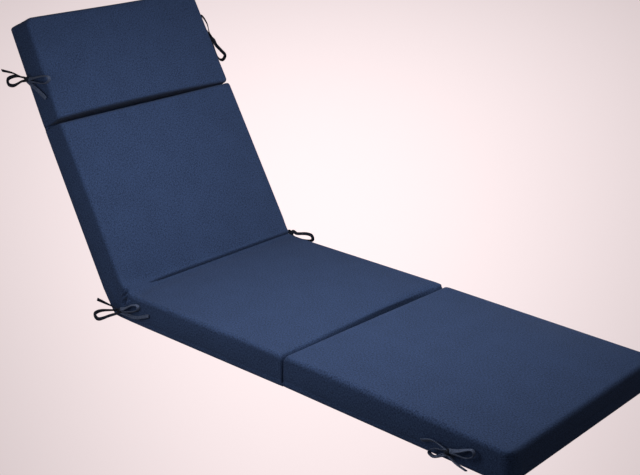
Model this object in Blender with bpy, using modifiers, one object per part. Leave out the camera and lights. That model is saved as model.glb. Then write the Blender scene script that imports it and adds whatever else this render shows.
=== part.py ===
"""Sun lounger cushion, bent as it lies on a reclined lounger, with six bows of tape.

One cover over one long filling is sewn into four sections: head, back, seat and legs. A
deep channel parts head from back, a tight one parts seat from legs, and the cushion bends
at a crease between back and seat. Each bow is one tape, sewn to the side by its middle.

Metres, +Z up, +X toward the foot end, -Y the cushion's left side. The origin is the centre
of the seat section's flat underside. The cushion is drawn flat first: s runs along its top
face from the crease, positive over seat and legs, negative over back and head. The bend
then turns the negative half upward.
"""

import math
from collections import namedtuple

import bmesh
import bpy
import numpy as np
from mathutils import Matrix, Vector
from mathutils.bvhtree import BVHTree

# Driving dimensions of the cushion
WIDTH = 0.560
THICKNESS = 0.068
HEAD_LENGTH = 0.262
BACK_LENGTH = 0.452
SEAT_LENGTH = 0.538
LEG_LENGTH = 0.595
RECLINE = math.radians(61.7)  # back above the horizontal

# Soft form
EDGE_RADIUS = 0.014  # where the faces turn into the sides and ends
END_CORNER_RADIUS = 0.022  # seen from above, at the head and foot ends
CHANNEL_CORNER_RADIUS = 0.009  # seen from above, beside a channel
CROWN = 0.006  # a section's top face above its edges
SIDE_BULGE = 0.003
CROWN_POWER = 3.0  # higher is flatter in the middle
HINGE_EDGE_SHARE = 0.2  # rounding of the underside beside a channel, as a share of the top's
WEB_LOW = 0.0032  # the sewn web at the foot of a channel, above the underside
WEB_HIGH = 0.0085
WEB_SIDE_INSET = 0.012

# The bend between back and seat
BEND_REACH = 0.090  # the underside stretches over this much on either side of the crease
CREASE_DEPTH = 0.009
CREASE_REACH = 0.016
CREASE_SHARE_AT_LEFT = 0.35  # the crease fades toward the left side
CREASE_FADE = 0.13
HEEL_LIFT = 0.004  # the soft outer corner of the bend stays this far off its sharp shape
HEEL_REACH = 0.022

# A channel's centre, and its width at the left and right side
Channel = namedtuple("Channel", "s left_gap right_gap")
CHANNELS = (
    Channel(-BACK_LENGTH, 0.0045, 0.0070),
    Channel(SEAT_LENGTH, 0.0022, 0.0075),
)

# Mesh fineness
END_STEPS = 6
LIP_STEPS = 4
CREASE_STATIONS = (0.0035, 0.008, 0.0125, 0.022, 0.038, 0.060, 0.088)
MIDDLE_SHARES = (0.12, 0.30, 0.50, 0.70, 0.88)
CORNER_STEPS = 3
TOP_POINTS = 11
BOTTOM_POINTS = 5

# Tapes
TAPE_WIDTH = 0.009
TAPE_THICKNESS = 0.0018
KNOT_RADII = (0.0070, 0.0062, 0.0066)  # along the side, outward, up
KNOT_SEGMENTS = 14
KNOT_RINGS = 8
SEAM_GAP = 0.0004
ROOT_STRAIGHT = 0.003
LOOP_SAMPLES = 20
TAIL_SAMPLES = 9
ROOT_SAMPLES = 6
TUCK = 0.0028  # a loop's two ends lie this far to either side of the knot's centre
MM = 0.001

HEAD_END = -(BACK_LENGTH + HEAD_LENGTH)
FOOT_END = SEAT_LENGTH + LEG_LENGTH
SECTION_BOUNDS = (HEAD_END, -BACK_LENGTH, 0.0, SEAT_LENGTH, FOOT_END)
CREASE_X = -SEAT_LENGTH / 2

SEAT_EDGE = Vector((1.0, 0.0, 0.0))
BACK_EDGE = Vector((-math.cos(RECLINE), 0.0, math.sin(RECLINE)))

# A bow: the side it is on (-1 left, +1 right), its knot, the seam point of its tape, and the
# edge that the tape is sewn along. x and z are world positions in mm, out is the distance
# outward from the cushion's side.
Bow = namedtuple("Bow", "name side knot_x knot_out knot_z root_x root_z edge")
BOWS = (
    Bow("bow_head_left", -1, -592, 15, 553, -587, 552, BACK_EDGE),
    Bow("bow_head_right", 1, -579, 30, 565, -590, 560, BACK_EDGE),
    Bow("bow_fold_left", -1, -269, 20, 28, -272, 14, SEAT_EDGE),
    Bow("bow_fold_right", 1, -276, 30, 64, -276, 20, SEAT_EDGE),
    Bow("bow_foot_left", -1, 733, 16, 28, 733, 14, SEAT_EDGE),
    Bow("bow_foot_right", 1, 733, 16, 26, 733, 14, SEAT_EDGE),
)

# Routes of the loops and loose ends, in mm from the knot: (along X, outward, up)
Route = namedtuple("Route", "bow kind points")
ROUTES = (
    Route("bow_head_left", "loop",
          ((-17, 3, 3), (-33, 11, 5), (-57, 17, -5), (-54, 19, -18), (-38, 14, -19), (-15, 5, -6))),
    Route("bow_head_left", "loop",
          ((12, -2, 3), (53, -4, 15), (80, -6, 19), (84, -6, 10), (64, -4, -1), (14, -2, -4))),
    Route("bow_head_left", "end", ((-20, 5, 5), (-40, 14, 12), (-75, 21, 14))),
    Route("bow_head_left", "end", ((15, -2, -12), (41, -3, -24), (68, -3, -37))),
    Route("bow_head_right", "loop",
          ((-9, 0, 19), (-17, 0, 42), (-36, 0, 60), (-46, 0, 53), (-32, 0, 29), (-14, 0, 12))),
    Route("bow_head_right", "loop",
          ((15, 2, -14), (33, 4, -27), (47, 6, -39), (35, 6, -54), (19, 4, -48), (6, 2, -20))),
    Route("bow_head_right", "end", ((-16, 0, -6), (-40, 0, -18), (-62, -3, -36))),
    Route("bow_head_right", "end", ((-6, 2, -18), (-14, 2, -44), (-22, 0, -72))),
    Route("bow_fold_left", "loop",
          ((-14, 8, 0), (-42, 26, -4), (-54, 36, -13), (-38, 38, -21), (-18, 18, -12))),
    Route("bow_fold_left", "loop",
          ((16, -1, 10), (39, -5, 24), (60, -7, 29), (59, -7, 16), (28, -4, 3))),
    Route("bow_fold_left", "end", ((-13, 5, 6), (-32, 16, 15), (-54, 26, 23))),
    Route("bow_fold_left", "end", ((20, -4, -5), (52, -7, -5), (99, -8, 13))),
    Route("bow_fold_right", "loop",
          ((22, 2, 3), (51, 6, 9), (71, 8, 8), (73, 8, -5), (44, 6, -11), (14, 2, -8))),
    Route("bow_fold_right", "loop",
          ((-14, 0, 2), (-36, 2, -6), (-50, 2, -18), (-38, 2, -26), (-14, 0, -12))),
    Route("bow_fold_right", "end", ((12, 2, -17), (28, 4, -34), (42, 4, -52))),
    Route("bow_fold_right", "end", ((-10, 0, -16), (-24, 2, -36), (-34, 2, -55))),
    Route("bow_foot_left", "loop",
          ((-14, -1, -2), (-36, -2, -7), (-46, 0, -17), (-32, 2, -21), (-12, 1, -10))),
    Route("bow_foot_left", "loop",
          ((17, -1, 8), (38, -3, 18), (54, -3, 24), (60, -2, 15), (44, 0, 4), (18, 1, 1))),
    Route("bow_foot_left", "end", ((-19, -2, 5), (-43, -4, 7), (-69, -4, -2))),
    Route("bow_foot_left", "end", ((10, 4, -7), (29, 8, -12), (52, 10, -16))),
    Route("bow_foot_right", "loop",
          ((14, 0, 3), (35, 0, 5), (52, 1, -2), (44, 2, -13), (14, 1, -7))),
    Route("bow_foot_right", "loop",
          ((-14, 0, 4), (-34, 0, 8), (-51, 1, 3), (-45, 2, -10), (-14, 1, -6))),
    Route("bow_foot_right", "end", ((12, 3, -9), (34, 6, -15), (60, 8, -19))),
    Route("bow_foot_right", "end", ((-12, 3, -9), (-36, 6, -14), (-64, 8, -18))),
)

# Materials: name, base colour (linear), roughness
Finish = namedtuple("Finish", "name colour roughness")
NAVY_COVER = Finish("navy_cover", (0.045, 0.075, 0.135, 1.0), 0.9)
NAVY_TAPE = Finish("navy_tape", (0.018, 0.022, 0.036, 1.0), 0.8)

Station = namedtuple("Station", "s shift plan_inset face_inset web")


def clear_scene():
    """Remove every object that the scene holds."""
    for existing in list(bpy.data.objects):
        bpy.data.objects.remove(existing, do_unlink=True)


def make_material(finish):
    """A Principled material with the finish's colour and roughness."""
    material = bpy.data.materials.new(finish.name)
    material.use_nodes = True
    shader = material.node_tree.nodes["Principled BSDF"]
    shader.inputs["Base Color"].default_value = finish.colour
    shader.inputs["Roughness"].default_value = finish.roughness
    shader.inputs["Metallic"].default_value = 0.0
    return material


def arc_inset(distance, radius):
    """How far a rounded edge of this radius lies inward, at a distance from its end."""
    if distance >= radius:
        return 0.0
    return radius - math.sqrt(radius**2 - (radius - distance) ** 2)


def rounded_stations(edge, direction, corner_radius, steps, shift):
    """Stations over a rounded end, from its flat face inward.

    They follow a quarter circle of the larger radius, so they crowd where the form turns.
    """
    reach = max(corner_radius, EDGE_RADIUS)
    stations = []
    for step in range(steps + 1):
        distance = reach * (1 - math.cos(math.radians(90 * step / steps)))
        stations.append(Station(
            edge + direction * distance, shift,
            arc_inset(distance, corner_radius), arc_inset(distance, EDGE_RADIUS), False))
    return stations


def lay_stations():
    """All cross-sections of the flat cushion, from the head end to the foot end."""
    stations = rounded_stations(HEAD_END, 1, END_CORNER_RADIUS, END_STEPS, 0)
    for channel in CHANNELS:
        before = rounded_stations(channel.s, -1, CHANNEL_CORNER_RADIUS, LIP_STEPS, -1)
        stations += reversed(before)
        stations += [Station(channel.s, shift, WEB_SIDE_INSET, 0.0, True) for shift in (-1, 0, 1)]
        stations += rounded_stations(channel.s, 1, CHANNEL_CORNER_RADIUS, LIP_STEPS, 1)
    stations += reversed(rounded_stations(FOOT_END, -1, END_CORNER_RADIUS, END_STEPS, 0))

    stations += [Station(0.0, 0, 0.0, 0.0, False)]
    stations += [Station(side * s, 0, 0.0, 0.0, False) for s in CREASE_STATIONS for side in (-1, 1)]
    clear = (
        (HEAD_END + END_CORNER_RADIUS, -BACK_LENGTH - EDGE_RADIUS),
        (-BACK_LENGTH + EDGE_RADIUS, -BEND_REACH),
        (BEND_REACH, SEAT_LENGTH - EDGE_RADIUS),
        (SEAT_LENGTH + EDGE_RADIUS, FOOT_END - END_CORNER_RADIUS),
    )
    for start, stop in clear:
        stations += [Station(start + share * (stop - start), 0, 0.0, 0.0, False)
                     for share in MIDDLE_SHARES]
    return sorted(stations, key=station_order)


def station_order(station):
    """Order along the cushion. In a channel it is lip, web, lip at the same s."""
    return station.s, station.shift, 0 if station.web else station.shift


def ring_outline(half_width, low, high, radius):
    """One closed cross-section (y, z), a rounded rectangle with rows along top and underside."""
    radius = min(radius, 0.45 * (high - low))
    points = []

    def corner(side, middle_z, start_angle):
        for step in range(CORNER_STEPS + 1):
            angle = math.radians(start_angle + 90 * step / CORNER_STEPS)
            points.append((side * (half_width - radius) + radius * math.cos(angle),
                           middle_z + radius * math.sin(angle)))

    points.append((half_width, (low + high) / 2))
    corner(1, high - radius, 0)
    for y in np.linspace(half_width - radius, radius - half_width, TOP_POINTS + 2)[1:-1]:
        points.append((y, high))
    corner(-1, high - radius, 90)
    points.append((-half_width, (low + high) / 2))
    corner(-1, low + radius, 180)
    for y in np.linspace(radius - half_width, half_width - radius, BOTTOM_POINTS + 2)[1:-1]:
        points.append((y, low))
    corner(1, low + radius, 270)
    return np.array(points)


def section_position(s):
    """Where s lies in its section, from -1 at one end to 1 at the other."""
    for start, stop in zip(SECTION_BOUNDS, SECTION_BOUNDS[1:]):
        if start <= s <= stop:
            return 2 * (s - start) / (stop - start) - 1
    return 1.0


def fade(value):
    """Smooth step from 0 to 1."""
    value = np.clip(value, 0.0, 1.0)
    return value * value * (3 - 2 * value)


def flat_ring(station):
    """One cross-section of the flat cushion as (s, y, z) rows, crowned, bulged and creased."""
    if station.web:
        outline = ring_outline(WIDTH / 2 - station.plan_inset, WEB_LOW, WEB_HIGH, EDGE_RADIUS)
    else:
        at_end = station.shift == 0
        low = station.face_inset * (1.0 if at_end else HINGE_EDGE_SHARE)
        outline = ring_outline(
            WIDTH / 2 - station.plan_inset, low, THICKNESS - station.face_inset, EDGE_RADIUS)
    y, z = outline[:, 0].copy(), outline[:, 1].copy()
    along = 1 - abs(section_position(station.s)) ** CROWN_POWER
    if not station.web:
        across = np.clip(1 - np.abs(y / (WIDTH / 2 - EDGE_RADIUS)) ** CROWN_POWER, 0, None)
        height = (z - z.min()) / (z.max() - z.min())
        on_top = z == z.max()
        at_side = np.abs(y) > WIDTH / 2 - EDGE_RADIUS
        y += np.sign(y) * SIDE_BULGE * along * (1 - (2 * height - 1) ** 2) * at_side
        z += CROWN * along * across * on_top
        crease = CREASE_DEPTH * max(0.0, 1 - abs(station.s) / CREASE_REACH) ** 2
        left_fade = fade((y + WIDTH / 2) / CREASE_FADE)
        z -= crease * height * (CREASE_SHARE_AT_LEFT + (1 - CREASE_SHARE_AT_LEFT) * left_fade)
        z += HEEL_LIFT * max(0.0, 1 - abs(station.s) / HEEL_REACH) ** 2 * (1 - height)

    s = np.full_like(y, station.s)
    for channel in CHANNELS:
        if abs(station.s - channel.s) <= EDGE_RADIUS:
            share = y / WIDTH + 0.5
            gap = channel.left_gap + (channel.right_gap - channel.left_gap) * share
            s += station.shift * gap / 2
    return np.stack([s, y, z], axis=1)


def bend(rows):
    """Turn the negative half of the flat cushion up by the recline, about the crease.

    The top face keeps its length. What lies deeper is stretched around the outer corner.
    """
    s, y, z = rows.T
    depth = THICKNESS - z
    nearness = np.clip(1 - np.abs(s) / BEND_REACH, 0, None)
    along = np.abs(s) - math.tan(RECLINE / 2) * depth * nearness
    seat_x, seat_z = CREASE_X + along, z
    back_x = CREASE_X - along * math.cos(RECLINE) - depth * math.sin(RECLINE)
    back_z = THICKNESS + along * math.sin(RECLINE) - depth * math.cos(RECLINE)
    on_back = s < 0
    return np.stack([np.where(on_back, back_x, seat_x), y, np.where(on_back, back_z, seat_z)], axis=1)


def build_cushion(collection):
    """The whole cushion: a loft through its cross-sections, closed at both ends."""
    mesh = bpy.data.meshes.new("cushion")
    form = bmesh.new()
    rings = [[form.verts.new(point) for point in bend(flat_ring(station))]
             for station in lay_stations()]
    for ring, following in zip(rings, rings[1:]):
        for index in range(len(ring)):
            after = (index + 1) % len(ring)
            form.faces.new((ring[index], ring[after], following[after], following[index]))
    form.faces.new(rings[0])
    form.faces.new(rings[-1])
    bmesh.ops.recalc_face_normals(form, faces=form.faces)
    form.to_mesh(mesh)
    form.free()
    mesh.materials.append(make_material(NAVY_COVER))
    mesh.shade_smooth()
    cushion = bpy.data.objects.new("cushion", mesh)
    collection.objects.link(cushion)
    return cushion


def smooth_route(points, samples):
    """Points of a smooth curve through the route's own points, evenly spaced along it."""
    knots = [Vector(point) for point in points]
    padded = [2 * knots[0] - knots[1]] + knots + [2 * knots[-1] - knots[-2]]
    fine = []
    for before, start, stop, after in zip(padded, padded[1:], padded[2:], padded[3:]):
        for step in range(12):
            t = step / 12
            fine.append(0.5 * (2 * start + (stop - before) * t
                               + (2 * before - 5 * start + 4 * stop - after) * t**2
                               + (3 * start - before - 3 * stop + after) * t**3))
    fine.append(knots[-1])
    lengths = np.array([0.0] + [(b - a).length for a, b in zip(fine, fine[1:])]).cumsum()
    places = np.linspace(0, lengths[-1], samples + 1)
    columns = [np.interp(places, lengths, [point[axis] for point in fine]) for axis in range(3)]
    return [Vector(point) for point in zip(*columns)]


def tape(name, points, width_axis):
    """A tape along the world points, with its width along the given axis, as a closed mesh."""
    frame = width_axis.to_track_quat("Z", "Y").to_matrix()
    curve = bpy.data.curves.new(name, "CURVE")
    curve.dimensions = "3D"
    curve.twist_mode = "Z_UP"
    curve.extrude = TAPE_WIDTH / 2
    spline = curve.splines.new("POLY")
    spline.points.add(len(points) - 1)
    for spline_point, point in zip(spline.points, points):
        spline_point.co = (*(frame.inverted() @ point), 1.0)
    ribbon = bpy.data.objects.new(name, curve)
    ribbon.matrix_world = frame.to_4x4()
    bpy.context.scene.collection.objects.link(ribbon)
    bpy.context.view_layer.update()
    evaluated = ribbon.evaluated_get(bpy.context.evaluated_depsgraph_get())
    mesh = bpy.data.meshes.new_from_object(evaluated)
    mesh.transform(ribbon.matrix_world)
    bpy.data.objects.remove(ribbon)
    strip = bpy.data.objects.new(name, mesh)
    thicken = strip.modifiers.new("thickness", "SOLIDIFY")
    thicken.thickness = TAPE_THICKNESS
    thicken.offset = 0.0
    return strip


def knot_centre(bow):
    """World position of a bow's knot."""
    return Vector((bow.knot_x * MM, bow.side * (WIDTH / 2 + bow.knot_out * MM), bow.knot_z * MM))


def route_points(bow, route):
    """World points of a loop or loose end, starting in the knot."""
    centre = knot_centre(bow)
    offsets = [Vector((x, bow.side * out, z)) * MM for x, out, z in route.points]
    if route.kind == "loop":
        tip = offsets[len(offsets) // 2]
        across = Vector((-tip.z, 0, tip.x)).normalized()
        across *= math.copysign(TUCK, (offsets[0] - offsets[-1]).dot(across))
        offsets = [across] + offsets + [-across]
        samples = LOOP_SAMPLES
    else:
        offsets = [Vector((0, 0, 0))] + offsets
        samples = TAIL_SAMPLES
    return smooth_route([centre + offset for offset in offsets], samples)


def root_points(bow, cover):
    """World points of the tape from just off the cover to the knot."""
    outward = Vector((0, bow.side, 0))
    start = Vector((bow.root_x * MM, bow.side * WIDTH, bow.root_z * MM))
    seam, _, _, _ = cover.ray_cast(start, -outward)
    foot = seam + outward * SEAM_GAP
    return smooth_route([foot, foot + outward * ROOT_STRAIGHT, knot_centre(bow)], ROOT_SAMPLES)


def build_bow(bow, cover, material, collection):
    """One bow: knot, two loops, two loose ends and the sewn root, united into one solid."""
    bpy.ops.mesh.primitive_uv_sphere_add(
        segments=KNOT_SEGMENTS, ring_count=KNOT_RINGS, radius=1.0, location=knot_centre(bow))
    knot = bpy.context.object
    knot.name = bow.name
    knot.data.name = bow.name
    knot.data.transform(Matrix.Diagonal((*KNOT_RADII, 1.0)))
    for owner in list(knot.users_collection):
        owner.objects.unlink(knot)
    collection.objects.link(knot)
    knot.data.materials.append(material)

    outward = Vector((0, bow.side, 0))
    strips = [tape(f"{bow.name}_root", root_points(bow, cover), bow.edge)]
    for number, route in enumerate(route for route in ROUTES if route.bow == bow.name):
        strips.append(tape(f"{bow.name}_{route.kind}_{number}", route_points(bow, route), outward))
    for strip in strips:
        unite(knot, strip)
    return knot


def unite(target, addition):
    """Boolean union of one object into another; the added object is removed."""
    collection = target.users_collection[0]
    collection.objects.link(addition)
    join = target.modifiers.new("join", "BOOLEAN")
    join.operation = "UNION"
    join.object = addition
    bpy.context.view_layer.update()
    evaluated = target.evaluated_get(bpy.context.evaluated_depsgraph_get())
    joined = bpy.data.meshes.new_from_object(evaluated)
    target.modifiers.remove(join)
    target.data = joined
    bpy.data.objects.remove(addition)


def main():
    """Build the cushion, then a bow for each row of the table."""
    clear_scene()
    collection = bpy.data.collections.new("sun_lounger_cushion")
    bpy.context.scene.collection.children.link(collection)
    cushion = build_cushion(collection)
    bpy.context.view_layer.update()
    cover = BVHTree.FromObject(cushion, bpy.context.evaluated_depsgraph_get())
    material = make_material(NAVY_TAPE)
    for bow in BOWS:
        build_bow(bow, cover, material, collection)


main()
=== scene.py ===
import math
from collections import namedtuple

import bmesh
import bpy
import numpy as np
from mathutils import Matrix, Vector


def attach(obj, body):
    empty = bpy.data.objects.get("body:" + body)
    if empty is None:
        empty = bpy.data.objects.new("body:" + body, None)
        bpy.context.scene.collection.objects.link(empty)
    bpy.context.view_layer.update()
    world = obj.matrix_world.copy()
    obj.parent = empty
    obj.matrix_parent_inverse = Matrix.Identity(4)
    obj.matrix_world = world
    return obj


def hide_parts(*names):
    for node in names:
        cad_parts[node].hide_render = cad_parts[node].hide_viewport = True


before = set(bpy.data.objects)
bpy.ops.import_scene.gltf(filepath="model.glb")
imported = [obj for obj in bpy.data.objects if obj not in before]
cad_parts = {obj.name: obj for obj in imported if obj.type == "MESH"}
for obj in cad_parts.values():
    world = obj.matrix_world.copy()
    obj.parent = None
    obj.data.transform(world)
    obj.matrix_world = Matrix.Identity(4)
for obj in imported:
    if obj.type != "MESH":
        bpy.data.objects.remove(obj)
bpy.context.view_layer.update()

bl_info = {
    "name": "Sun lounger cushion",
    "version": (1, 0, 0),
    "blender": (4, 5, 0),
    "location": "View3D > Sidebar > Cushion",
    "description": "Dresses the sun lounger cushion: woven cover, seams and tape bows",
    "category": "Object",
}

MM = 0.001
BODY = "root"

# Sizes of the cushion, as its solid has them (metres)
WIDTH = 0.560
THICKNESS = 0.068
HEAD_LENGTH = 0.262
BACK_LENGTH = 0.452
SEAT_LENGTH = 0.538
LEG_LENGTH = 0.595
RECLINE = math.radians(61.7)
HEAD_END = -(BACK_LENGTH + HEAD_LENGTH)
FOOT_END = SEAT_LENGTH + LEG_LENGTH
SECTION_BOUNDS = np.array([HEAD_END, -BACK_LENGTH, 0.0, SEAT_LENGTH, FOOT_END])
CREASE_X = -SEAT_LENGTH / 2
HEAD_CORNER_RADIUS = 0.0075
HEAD_FACE_CORNER_RADIUS = 0.024
FOOT_CORNER_RADIUS = 0.020
CHANNEL_CORNER_RADIUS = 0.0028
CHANNEL_REACH = 0.014
HINGE_EDGE_SHARE = 0.08
CAP_BULGE = 0.0015
WEB_LOW = 0.0010
WEB_HIGH = 0.0085
WEB_SIDE_INSET = 0.0012
WEB_RADIUS = 0.002
WALL_SWELL = 0.3
CREASE_ZONE = 0.056
BEND_REACH = 0.090

# A channel's centre, its width at the left and right side, how much further the edge on
# its head side draws back at the share of the width where that is most, how much nearer
# the foot the channel lies at the right, how much rounder that edge gets toward the right,
# and how far the edge on the foot side dips there
Channel = namedtuple("Channel", "s left_gap right_gap drawn most_at slant rounder dip")
CHANNELS = (
    Channel(-BACK_LENGTH, 0.0080, 0.0012, 0.0060, 0.50, 0.0, 0.0, 0.0),
    Channel(SEAT_LENGTH, 0.0040, 0.0030, 0.0115, 0.70, 0.0120, 0.0200, 0.0040),
)
SLANT_REACH = 0.12
DIP_REACH = 0.024

# A cross-section's ring has nine stretches, so its order comes back to its start at 9
RING_STRETCHES = 9.0

# The crease between back and seat: sharp toward the right, a soft hollow at the left end
CREASE_DEPTH = 0.0280
CREASE_REACH = 0.0030
CREASE_PLACE = -0.0028
CREASE_WELT = 0.0016
WELT_PLACE = -0.0095
WELT_WIDTH = 0.0028
CREASE_START = 0.070
CREASE_RAMP = 0.060
HOLLOW_LEFT = 0.046
HOLLOW_RIGHT = 0.0060
HOLLOW_FADE = 0.13
HEEL_LIFT = 0.001
HEEL_REACH = 0.022

# The folds that the left bow pulls into the cover at the crease: middle, as s and distance
# from the top edge of the left side (negative down the side), direction in degrees from
# the crease toward the seat, half length and half width, and depth. A fold has a low welt
# on its seat side. All in mm.
Pinch = namedtuple("Pinch", "s inward turn length width depth")
PINCHES = (
    Pinch(7, 0, 18, 8, 2.6, 8.0),
    Pinch(-5, 3, 16, 10, 2.4, 4.5),
    Pinch(14, -22, 0, 9, 5.0, 9.0),
)

# How far the filled cover stands past its plain solid at places along it: outward at the
# left and the right side, and in thickness (s in metres, the rest in mm). Fitted to the
# photograph with the inward pull of the cloth run in place, so it makes up for that pull.
Fullness = namedtuple("Fullness", "s left right thicker")
FULLNESS = (
    Fullness(HEAD_END, -4.6, -5.2, 8.3),
    Fullness(-BACK_LENGTH - 0.002, 4.4, 3.7, 8.0),
    Fullness(-BACK_LENGTH + 0.002, 5.1, 7.8, 7.4),
    Fullness(-0.050, 5.0, 21.5, 9.0),
    Fullness(0.0, 6.0, 19.0, 0.4),
    Fullness(0.050, 7.4, 14.0, 3.6),
    Fullness(SEAT_LENGTH - 0.002, 1.6, 9.5, 8.4),
    Fullness(SEAT_LENGTH + 0.002, -0.2, 4.5, 8.6),
    Fullness(FOOT_END, 4.0, 7.0, 2.8),
)

# How much longer the cover is at its head and its foot, how much less so at the foot's right
# side, how far the underside lifts there, and the length over which all these fade out
HEAD_LONGER = 0.0062
FOOT_LONGER = 0.0042
FOOT_SKEW = 0.0078
FOOT_LIFT = 0.0008
END_REACH = 0.16

# The radius of the lower edges as a share of the upper ones', the share that the back and
# head keep of both, and the rise of the top along the left side, which is gone at the right
UNDER_RADIUS_SHARE = 0.42
UPRIGHT_RADIUS_SHARE = 0.70
EDGE_CROWN_LEFT = 0.0030

# How fine a grid is: spacing of its cross-sections in metres, steps round an end or a
# channel's lip, and in a cross-section the steps over a face, round an edge and up a side
Detail = namedtuple("Detail", "spacing end_turns face_steps edge_turns side_steps")
FINE = Detail(0.0085, 8, 92, 9, 20)
COARSE = Detail(0.014, 4, 40, 3, 5)

# What the cloth run holds still: the underside up to a height, the channels' webs from a
# share of the way down their walls, and the crease to a distance on either side
HELD_HEIGHT = 0.012
HELD_WEB = 0.3
HELD_CREASE = 0.012
CLOTH_FRAMES = 20
SOFTENING_PASSES = 2

# The seam along each side, where the tapes are sewn in: its height, depth and width
SEAM_HEIGHT = 0.014
SEAM_DEPTH = 0.0011
SEAM_WIDTH = 0.0022

# A bow: its side (-1 left, +1 right), its knot, the seam point of its tape and the edge
# that the tape is sewn along. x and z are world positions in mm, out is outward in mm.
SEAT_EDGE = Vector((1.0, 0.0, 0.0))
BACK_EDGE = Vector((-math.cos(RECLINE), 0.0, math.sin(RECLINE)))
Bow = namedtuple("Bow", "name side knot_x knot_out knot_z root_x root_z edge")
BOWS = (
    Bow("bow_head_left", -1, -592, 15, 553, -587, 552, BACK_EDGE),
    Bow("bow_head_right", 1, -579, 30, 565, -590, 560, BACK_EDGE),
    Bow("bow_fold_left", -1, -269, 20, 28, -272, 14, SEAT_EDGE),
    Bow("bow_fold_right", 1, -276, 30, 64, -276, 20, SEAT_EDGE),
    Bow("bow_foot_left", -1, 733, 16, 28, 733, 14, SEAT_EDGE),
    Bow("bow_foot_right", 1, 733, 16, 26, 733, 14, SEAT_EDGE),
)

# Each half of a tape: root, knot, loop, knot, loose end. Points are in mm from the knot:
# (along X, outward, up). loop_turn is how far the tape turns over in the middle of the loop,
# past its resting turn, and end_turn how far at its loose end, both in degrees. face picks
# the tape's colour: plain, or a nearly black copy of it, painted shade for halves in shadow.
Half = namedtuple("Half", "bow loop end loop_turn end_turn face")
HALVES = (
    Half("bow_head_left",
         ((-17, 3, 3), (-33, 11, 5), (-57, 17, -5), (-54, 19, -18), (-38, 14, -19), (-15, 5, -6)),
         ((-20, 5, 5), (-40, 14, 12), (-75, 21, 14)), 40, 60, "seamed"),
    Half("bow_head_left",
         ((12, -2, 3), (53, -4, 15), (80, -6, 19), (84, -6, 10), (64, -4, -1), (14, -2, -4)),
         ((15, -2, -12), (41, -3, -24), (68, -3, -37)), -45, 75, "plain"),
    Half("bow_head_right",
         ((-9, 0, 19), (-17, 0, 42), (-36, 0, 60), (-46, 0, 53), (-32, 0, 29), (-14, 0, 12)),
         ((-16, 0, -6), (-40, 0, -18), (-62, -3, -36)), 30, 40, "seamed"),
    Half("bow_head_right",
         ((15, 2, -14), (33, 4, -27), (47, 6, -39), (35, 6, -54), (19, 4, -48), (6, 2, -20)),
         ((-6, 2, -18), (-14, 2, -44), (-22, 0, -72)), 30, 40, "seamed"),
    Half("bow_fold_left",
         ((-14, 8, 0), (-42, 26, -4), (-54, 36, -13), (-38, 38, -21), (-18, 18, -12)),
         ((-13, 5, 6), (-32, 16, 15), (-54, 26, 23)), 30, 95, "seamed"),
    Half("bow_fold_left",
         ((16, -1, 10), (39, -5, 24), (60, -7, 29), (59, -7, 16), (28, -4, 3)),
         ((20, -4, -5), (52, -7, -5), (99, -8, 13)), -40, 70, "plain"),
    Half("bow_fold_right",
         ((22, 2, 3), (51, 6, 9), (71, 8, 8), (73, 8, -5), (44, 6, -11), (14, 2, -8)),
         ((12, 2, -17), (28, 4, -34), (42, 4, -52)), 20, 40, "seamed"),
    Half("bow_fold_right",
         ((-14, 0, 2), (-36, 2, -6), (-50, 2, -18), (-38, 2, -26), (-14, 0, -12)),
         ((-10, 0, -16), (-24, 2, -36), (-34, 2, -55)), 30, 40, "seamed"),
    Half("bow_foot_left",
         ((-14, -1, -2), (-36, -2, -7), (-46, 0, -17), (-32, 2, -21), (-12, 1, -10)),
         ((-19, -2, 5), (-43, -4, 7), (-69, -4, -2)), -45, 62, "plain"),
    Half("bow_foot_left",
         ((17, -1, 8), (38, -3, 18), (54, -3, 24), (60, -2, 15), (44, 0, 4), (18, 1, 1)),
         ((10, 4, -7), (29, 8, -12), (52, 10, -16)), -50, -22, "plain"),
    Half("bow_foot_right",
         ((14, 0, 3), (35, 0, 5), (52, 1, -2), (44, 2, -13), (14, 1, -7)),
         ((12, 3, -9), (34, 6, -15), (60, 8, -19)), 20, 40, "plain"),
    Half("bow_foot_right",
         ((-14, 0, 4), (-34, 0, 8), (-51, 1, 3), (-45, 2, -10), (-14, 1, -6)),
         ((-12, 3, -9), (-36, 6, -14), (-64, 8, -18)), 20, 40, "plain"),
)
KNOT_RADII = np.array([0.0072, 0.0064, 0.0068])

# The cloth's drawing: the length of Blender's wave texture at scale 1, the mottle's share in
# the tone, the tones that count as darkest and lightest, and the dye's share in the relief
WAVE_LENGTH = 2 * math.pi / 20
MOTTLE_SHARE = 0.25
DARKEST_TONE = 0.725
LIGHTEST_TONE = 1.525
DYE_RELIEF = 0.3

# A tape: how far it tucks in at the knot, its turn at rest in degrees, how far from the
# seam point each half is sewn and how far it starts straight out, the gap at the seam, the
# points of a half's path, its thread spacing, and how far its edges stand forward
TUCK = 0.0028
RESTING_TURN = 42
ROOT_SPREAD = 0.005
ROOT_STUB = 0.003
SEAM_GAP = 0.0004
PATH_POINTS = 110
TAPE_THREAD = 0.0011
TAPE_CUP = 0.0004

# Camera, from the photograph's perspective
CAMERA_PLACE = Vector((1.9892, -2.0181, 1.2618))
CAMERA_AZIMUTH = math.radians(42.796)
CAMERA_ELEVATION = math.radians(20.453)
CAMERA_LENS_MM = 70.055
CAMERA_SENSOR_MM = 36.0

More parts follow.
